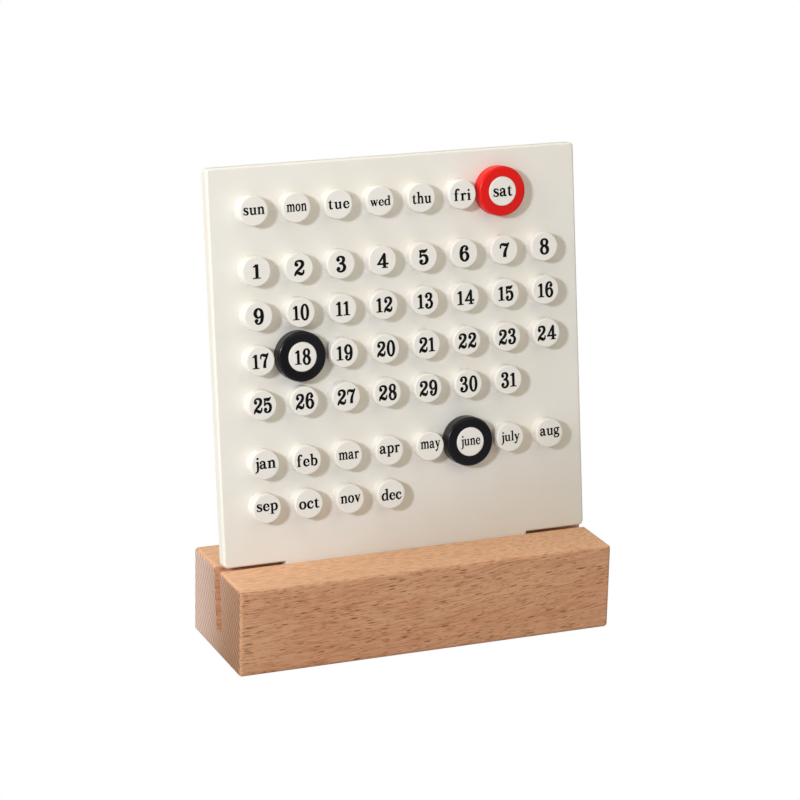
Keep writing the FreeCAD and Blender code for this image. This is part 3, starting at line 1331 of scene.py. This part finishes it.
@dataclass(frozen=True)
class ViewPoint:
    """Where the camera stands, by angles round its target, in metres and degrees."""

    azimuth: float = -22.944
    elevation: float = 17.65
    roll: float = 1.267
    distance: float = 1.0242
    target: Colour = (-0.00285, -0.000574, 0.082711)
    lens: float = 137.47
    sensor: float = 36.0
    nearest: float = 0.05
    farthest: float = 50.0

    def place(self) -> None:
        """Make the camera and set it as the scene's."""
        back = direction(self.azimuth, self.elevation)
        right, up = square_to(back)
        roll = math.radians(self.roll)
        axes = (
            right * math.cos(roll) + up * math.sin(roll),
            up * math.cos(roll) - right * math.sin(roll),
            back,
        )
        data = bpy.data.cameras.new("camera")
        data.lens, data.sensor_width = self.lens, self.sensor
        data.clip_start, data.clip_end = self.nearest, self.farthest
        camera = bpy.data.objects.new("camera", data)
        bpy.context.collection.objects.link(camera)
        stand = Matrix.Translation(Vector(self.target) + back * self.distance)
        camera.matrix_world = stand @ Matrix(axes).transposed().to_4x4()
        bpy.context.scene.camera = camera


@dataclass(frozen=True)
class SoftBox:
    """Square studio light that faces a point on the object."""

    name: str
    azimuth: float
    elevation: float
    distance: float
    size: float
    power: float
    colour: Colour = (1.0, 1.0, 1.0)
    target: Colour = (0.0, 0.0, 0.09)

    def place(self) -> bpy.types.Object:
        """Make the light and return it."""
        way = direction(self.azimuth, self.elevation)
        data = bpy.data.lights.new(self.name, "AREA")
        data.shape, data.size = "SQUARE", self.size
        data.energy, data.color = self.power, self.colour
        lamp = bpy.data.objects.new(self.name, data)
        bpy.context.collection.objects.link(lamp)
        lamp.location = Vector(self.target) + way * self.distance
        lamp.rotation_mode = "QUATERNION"
        lamp.rotation_quaternion = way.to_track_quat("Z", "Y")
        return lamp


@dataclass(frozen=True)
class Scrim:
    """Fine net that stands out of sight between the key light and the object's lower right.

    Its edge is a straight line in the light's view, and only the key light sees it.
    """

    reach: float = 0.175
    size: float = 0.44
    edge_distance: float = 0.0295
    edge_slope: float = 47.9
    passes: float = 0.5

    def place(self, key: SoftBox) -> bpy.types.Object:
        """Make the net.

        Args:
            key: The light that it shades the object from.

        Returns:
            The net.
        """
        way = direction(key.azimuth, key.elevation)
        right, up = square_to(way)
        slope = math.radians(self.edge_slope)
        edge = right * math.cos(slope) + up * math.sin(slope)
        down = right * math.sin(slope) - up * math.cos(slope)
        middle = Vector(key.target) + way * self.reach + down * (self.edge_distance + self.size / 2)
        turned_axes = Matrix((edge, way.cross(edge), way)).transposed()
        deselect()
        bpy.ops.mesh.primitive_plane_add(size=self.size, location=middle, rotation=turned_axes.to_euler())
        net = bpy.context.active_object
        net.name = "scrim"
        material, graph, _ = new_material("net")
        clear = graph.colour((self.passes,) * 3)
        graph.surface(graph.add("ShaderNodeBsdfTransparent", {"Color": clear}))
        net.data.materials.append(material)
        net.visible_camera = net.visible_diffuse = net.visible_glossy = net.visible_transmission = False
        return net


@dataclass(frozen=True)
class Studio:
    """Plain pale floor, soft lights, and surroundings white to the camera and dim to the object."""

    floor_size: float = 12.0
    floor_colour: Colour = (0.62, 0.61, 0.6)
    floor_roughness: float = 0.9
    surround: Colour = (1.0, 0.98, 0.94)
    surround_strength: float = 0.11
    lights: Tuple[SoftBox, ...] = (
        SoftBox("key", -50.0, 22.0, 1.4, 0.14, 10.3, (0.94, 1.01, 1.16)),
        SoftBox("side", -85.0, 25.0, 1.0, 0.6, 4.2, (1.05, 0.97, 0.81)),
        SoftBox("right", 40.0, 30.0, 1.0, 0.8, 1.6, (1.05, 0.97, 0.81)),
        SoftBox("front", 0.0, 35.0, 0.4, 0.25, 0.16, (1.05, 0.97, 0.81)),
        SoftBox("overhead", -20.0, 80.0, 0.75, 0.5, 1.0, (1.05, 0.98, 0.86)),
        SoftBox("back", 180.0, 62.0, 0.9, 0.6, 3.2),
    )

    def build(self) -> None:
        """Make the floor, the surroundings and the lights."""
        deselect()
        bpy.ops.mesh.primitive_plane_add(size=self.floor_size, location=(0.0, 0.0, 0.0))
        floor = bpy.context.active_object
        floor.name = "floor"
        floor.data.materials.append(self.floor_material())
        world = bpy.data.worlds.new("surroundings")
        world.use_nodes = True
        graph = Graph(world.node_tree)
        seen = graph.add("ShaderNodeLightPath", {}).outputs["Is Camera Ray"]
        strength = graph.add("ShaderNodeMapRange", {"Value": seen, "To Min": self.surround_strength})
        backdrop = {"Color": graph.colour(self.surround), "Strength": strength.outputs[0]}
        graph.fill(world.node_tree.nodes["Background"], backdrop)
        bpy.context.scene.world = world
        self.light()
        bpy.context.scene.view_settings.view_transform = "Standard"

    def light(self) -> None:
        """Place the lights, and the net that only the first of them sees."""
        key, *others = self.lights
        net = Scrim().place(key)
        unshaded = bpy.data.collections.new("unshaded")
        unshaded.objects.link(net)
        unshaded.collection_objects[0].light_linking.link_state = "EXCLUDE"
        key.place()
        for light in others:
            light.place().light_linking.blocker_collection = unshaded

    def floor_material(self) -> bpy.types.Material:
        """Pale matt floor that looks almost white to the camera.

        Returns:
            The material.
        """
        material, graph, shader = new_material("pale_floor")
        graph.fill(shader, {
            "Base Color": graph.colour(self.floor_colour),
            "Roughness": self.floor_roughness,
            "Specular IOR Level": 0.0,
        })
        glow = graph.add("ShaderNodeEmission", {"Color": (1.0, 1.0, 1.0, 1.0), "Strength": 1.0})
        seen = graph.add("ShaderNodeLightPath", {}).outputs["Is Camera Ray"]
        inputs = {0: seen, 1: shader.outputs[0], 2: glow.outputs[0]}
        graph.surface(graph.add("ShaderNodeMixShader", inputs))
        return material


PLATE_IVORY = MouldedPlastic(
    "ivory_plate", (0.84, 0.81, 0.735), (0.825, 0.79, 0.71), 0.5, 0.05, 1.6, 0.012, scatter=0.06, marks=0.6
)
PEG_IVORY = MouldedPlastic(
    "ivory_peg", (0.845, 0.815, 0.75), (0.835, 0.80, 0.73), 0.44, 0.05, 2.0, 0.008, scatter=0.06, marks=0.6
)
RED = MouldedPlastic(
    "red_ring", (0.78, 0.008, 0.006), (0.72, 0.007, 0.006), 0.4, 0.05, 1.4, 0.01, coat=0.04, shine=0.22
)
BLACK = MouldedPlastic(
    "black_ring", (0.004, 0.004, 0.006), (0.006, 0.006, 0.009), 0.34, 0.06, 1.4, 0.01, coat=0.08, shine=0.25
)


def corners(box: Tuple[Vector, Vector]) -> List[List[float]]:
    """A box as plain lists of numbers."""
    return [list(corner) for corner in box]


def main() -> None:
    """Dress the part, print its legends and set up the camera and the studio."""
    logging.basicConfig(level=logging.INFO, format="%(message)s")
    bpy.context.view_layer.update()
    ViewPoint().place()
    Studio().build()
    shared = SharedEffects()
    dress("base_block", OiledBeech().material(shared))
    dress("calendar_plate", PLATE_IVORY.material(shared))
    LetteredPegs().build(PEG_IVORY.material(shared), PrintedInk().material(shared))
    black = BLACK.material(shared)
    for node, finish in (("ring_weekday", RED.material(shared)), ("ring_date", black), ("ring_month", black)):
        dress(node, finish)


if __name__ == "__main__":
    main()
